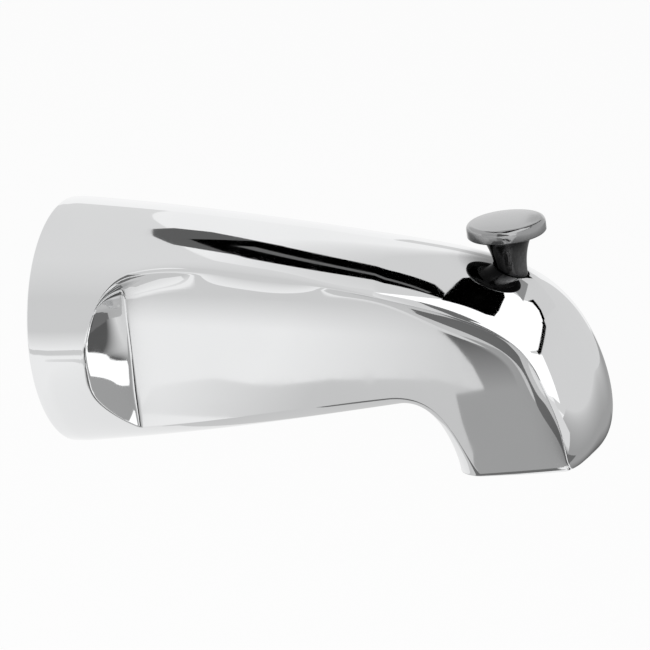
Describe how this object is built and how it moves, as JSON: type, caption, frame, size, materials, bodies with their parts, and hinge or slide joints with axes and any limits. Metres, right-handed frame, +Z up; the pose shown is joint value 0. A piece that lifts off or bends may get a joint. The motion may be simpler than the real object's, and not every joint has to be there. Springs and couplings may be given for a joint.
{
  "type": "bath spout",
  "caption": "Chrome-plated bath spout with a round base that sits on the wall, scooped flanks, a downturned outlet and a pull-up diverter knob.",
  "frame": {"origin": "centre of the round wall face, on the barrel's axis", "axes": "+X out of the wall along the barrel, +Z up towards the knob, +Y to the left seen from the nose"},
  "size_m": [0.1368, 0.06, 0.066],
  "materials": {
    "chrome_casting": "polished chrome plate on a zinc alloy casting",
    "chrome_knob": "polished chrome plate",
    "brass": "bare machined brass",
    "nylon": "moulded nylon",
    "rubber": "moulded black rubber"
  },
  "bodies": {
    "spout": {"spout_body": "chrome_casting", "inlet_bushing": "brass", "guide_bush": "nylon", "rod_o_ring": "rubber"},
    "diverter": {"diverter_gate": "brass", "gate_seal": "rubber", "lift_rod": "brass", "lift_knob": "chrome_knob"}
  },
  "joints": [
    {"name": "diverter_lift", "type": "slide", "parent": "spout", "child": "diverter", "axis": [0, 0, 1], "range_m": [0, 0.0152]}
  ]
}
